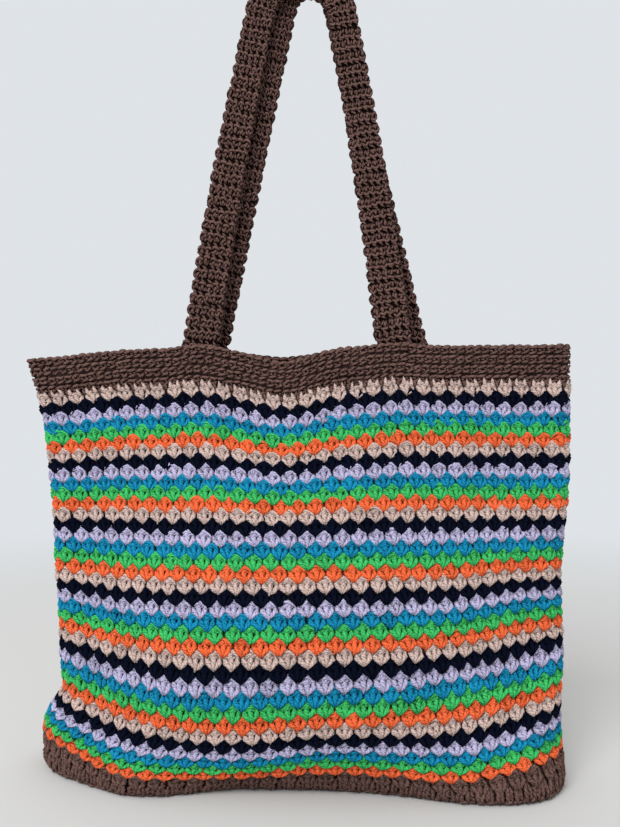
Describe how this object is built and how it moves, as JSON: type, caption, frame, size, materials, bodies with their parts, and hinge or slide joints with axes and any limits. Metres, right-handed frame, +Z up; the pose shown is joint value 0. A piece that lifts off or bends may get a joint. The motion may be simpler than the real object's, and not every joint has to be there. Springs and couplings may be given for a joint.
{
  "type": "crochet tote bag",
  "caption": "Crochet tote bag with an oval base, striped cluster-stitch sides, a plain band at the mouth and flat shoulder straps.",
  "frame": {"origin": "on the surface that the bag stands on, under the middle of its overall box", "axes": "+Z up from the base to the straps, +X to the right along the bag's width, -Y towards the front"},
  "size_m": [0.4049, 0.1548, 0.5951],
  "materials": {
    "yarn_orange": "matt plied cotton yarn, orange",
    "yarn_green": "matt plied cotton yarn, green",
    "yarn_teal": "matt plied cotton yarn, teal",
    "yarn_lilac": "matt plied cotton yarn, lilac",
    "yarn_navy": "matt plied cotton yarn, navy",
    "yarn_beige": "matt plied cotton yarn, beige",
    "yarn_brown": "matt plied cotton yarn, brown"
  },
  "bodies": {
    "root": {"base": "yarn_brown", "round_01_orange": "yarn_orange", "round_02_green": "yarn_green", "round_03_teal": "yarn_teal", "round_04_lilac": "yarn_lilac", "round_05_navy": "yarn_navy", "round_06_beige": "yarn_beige", "round_07_orange": "yarn_orange", "round_08_green": "yarn_green", "round_09_teal": "yarn_teal", "round_10_lilac": "yarn_lilac", "round_11_navy": "yarn_navy", "round_12_beige": "yarn_beige", "round_13_orange": "yarn_orange", "round_14_green": "yarn_green", "round_15_teal": "yarn_teal", "round_16_lilac": "yarn_lilac", "round_17_navy": "yarn_navy", "round_18_beige": "yarn_beige", "round_19_orange": "yarn_orange", "round_20_green": "yarn_green", "round_21_teal": "yarn_teal", "round_22_lilac": "yarn_lilac", "round_23_navy": "yarn_navy", "round_24_beige": "yarn_beige", "round_25_orange": "yarn_orange", "round_26_green": "yarn_green", "round_27_teal": "yarn_teal", "round_28_lilac": "yarn_lilac", "round_29_navy": "yarn_navy", "round_30_beige": "yarn_beige", "round_31_orange": "yarn_orange", "round_32_green": "yarn_green", "round_33_teal": "yarn_teal", "round_34_lilac": "yarn_lilac", "round_35_navy": "yarn_navy", "round_36_beige": "yarn_beige", "top_band": "yarn_brown", "front_strap": "yarn_brown", "back_strap": "yarn_brown"}
  },
  "joints": []
}
